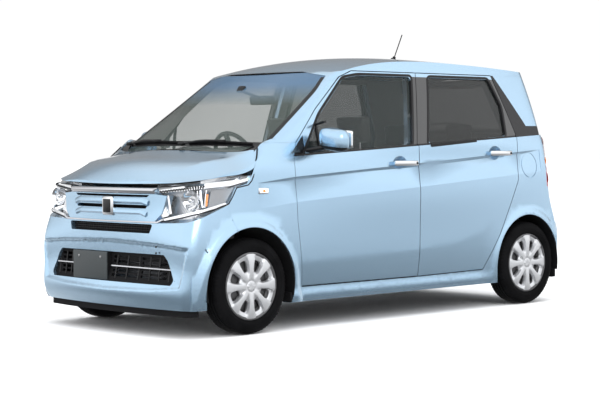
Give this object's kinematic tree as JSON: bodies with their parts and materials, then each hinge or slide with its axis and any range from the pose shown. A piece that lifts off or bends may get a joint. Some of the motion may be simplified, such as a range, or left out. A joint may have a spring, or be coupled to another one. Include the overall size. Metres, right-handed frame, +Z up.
{
  "type": "kei car",
  "caption": "Small tall-cabin hatchback car with hinged doors, hood and tailgate, steered front wheels and a hollow furnished cabin.",
  "frame": {"origin": "on the ground under the middle of the overall length and width", "axes": "+X forward along the car, +Y to its left, +Z up"},
  "size_m": [3.3913, 1.911, 1.8356],
  "materials": {
    "paint": "metallic gloss",
    "black_trim": "gloss",
    "dark_plastic": "textured",
    "interior": "textured",
    "underbody": "matt",
    "engine": "rough",
    "glass": "clear",
    "dark_glass": "tinted",
    "lamp": "clear",
    "red_lamp": "clear red",
    "tyre": "matt",
    "wheel": "silver paint",
    "steel": "plain",
    "seat": "woven"
  },
  "bodies": {
    "body": {"floor_pan": "underbody", "side_frames": "paint", "quarter_trims": "black_trim", "roof_panel": "paint", "front_fenders": "paint", "front_bumper": "paint", "rear_bumper": "paint", "windshield": "glass", "headlamps": "lamp", "tail_lamps": "red_lamp", "upper_grille": "paint", "lower_grille": "dark_plastic", "cowl": "dark_plastic", "front_lip": "dark_plastic", "dashboard": "interior", "front_seats": "seat", "rear_seats": "seat", "engine_block": "engine", "front_structure": "underbody", "front_subframe": "underbody", "wheelhouse_liners": "dark_plastic", "rear_axle_beam": "steel", "exhaust": "steel", "fuel_tank": "dark_plastic", "antenna": "dark_plastic"},
    "front_door_left": {"door_front_left": "paint", "glass_front_left": "glass", "mirror_left": "paint"},
    "rear_door_left": {"door_rear_left": "paint", "glass_rear_left": "dark_glass"},
    "knuckle_left": {"knuckle_left": "steel"},
    "front_wheel_left": {"tyre_front_left": "tyre", "wheel_front_left": "wheel"},
    "rear_wheel_left": {"tyre_rear_left": "tyre", "wheel_rear_left": "wheel"},
    "front_door_right": {"door_front_right": "paint", "glass_front_right": "glass", "mirror_right": "paint"},
    "rear_door_right": {"door_rear_right": "paint", "glass_rear_right": "dark_glass"},
    "knuckle_right": {"knuckle_right": "steel"},
    "front_wheel_right": {"tyre_front_right": "tyre", "wheel_front_right": "wheel"},
    "rear_wheel_right": {"tyre_rear_right": "tyre", "wheel_rear_right": "wheel"},
    "fuel_flap": {"fuel_flap": "paint"},
    "hood": {"hood": "paint"},
    "tailgate": {"tailgate": "paint", "tailgate_glass": "dark_glass"},
    "steering_wheel": {"steering_wheel": "interior"}
  },
  "joints": [
    {"name": "front_door_left_hinge", "type": "hinge", "parent": "body", "child": "front_door_left", "pos_m": [0.8245, 0.7375, 0.7], "axis": [0, 0, -1], "range_deg": [0, 65]},
    {"name": "rear_door_left_hinge", "type": "hinge", "parent": "body", "child": "rear_door_left", "pos_m": [-0.249, 0.7375, 0.7], "axis": [0, 0, -1], "range_deg": [0, 70]},
    {"name": "steer_left", "type": "hinge", "parent": "body", "child": "knuckle_left", "pos_m": [1.1775, 0.608, 0.18], "axis": [-0.0251, -0.1557, 0.9875], "range_deg": [-36, 36]},
    {"name": "front_wheel_left_spin", "type": "hinge", "parent": "knuckle_left", "child": "front_wheel_left", "pos_m": [1.1775, 0.6525, 0.278], "axis": [0, 1, 0], "continuous": true},
    {"name": "rear_wheel_left_spin", "type": "hinge", "parent": "body", "child": "rear_wheel_left", "pos_m": [-1.3425, 0.6525, 0.278], "axis": [0, 1, 0], "continuous": true},
    {"name": "front_door_right_hinge", "type": "hinge", "parent": "body", "child": "front_door_right", "pos_m": [0.8245, -0.7375, 0.7], "axis": [0, 0, 1], "range_deg": [0, 65]},
    {"name": "rear_door_right_hinge", "type": "hinge", "parent": "body", "child": "rear_door_right", "pos_m": [-0.249, -0.7375, 0.7], "axis": [0, 0, 1], "range_deg": [0, 70]},
    {"name": "steer_right", "type": "hinge", "parent": "body", "child": "knuckle_right", "pos_m": [1.1775, -0.608, 0.18], "axis": [-0.0251, 0.1557, 0.9875], "range_deg": [-36, 36]},
    {"name": "front_wheel_right_spin", "type": "hinge", "parent": "knuckle_right", "child": "front_wheel_right", "pos_m": [1.1775, -0.6525, 0.278], "axis": [0, 1, 0], "continuous": true},
    {"name": "rear_wheel_right_spin", "type": "hinge", "parent": "body", "child": "rear_wheel_right", "pos_m": [-1.3425, -0.6525, 0.278], "axis": [0, 1, 0], "continuous": true},
    {"name": "fuel_flap_hinge", "type": "hinge", "parent": "body", "child": "fuel_flap", "pos_m": [-1.2985, 0.7125, 0.938], "axis": [0, 0, -1], "range_deg": [0, 95]},
    {"name": "hood_hinge", "type": "hinge", "parent": "body", "child": "hood", "pos_m": [1.0625, 0, 1.072], "axis": [0, -1, 0], "range_deg": [0, 50]},
    {"name": "tailgate_hinge", "type": "hinge", "parent": "body", "child": "tailgate", "pos_m": [-1.5125, 0, 1.538], "axis": [0, 1, 0], "range_deg": [0, 78]},
    {"name": "steering_wheel_turn", "type": "hinge", "parent": "body", "child": "steering_wheel", "pos_m": [0.3575, -0.33, 0.996], "axis": [-0.9, 0, 0.436], "range_deg": [-540, 540]}
  ],
  "couplings": [
    {"joint": "steer_right", "follows": "steer_left", "ratio": 1},
    {"joint": "steering_wheel_turn", "follows": "steer_left", "ratio": 15}
  ]
}
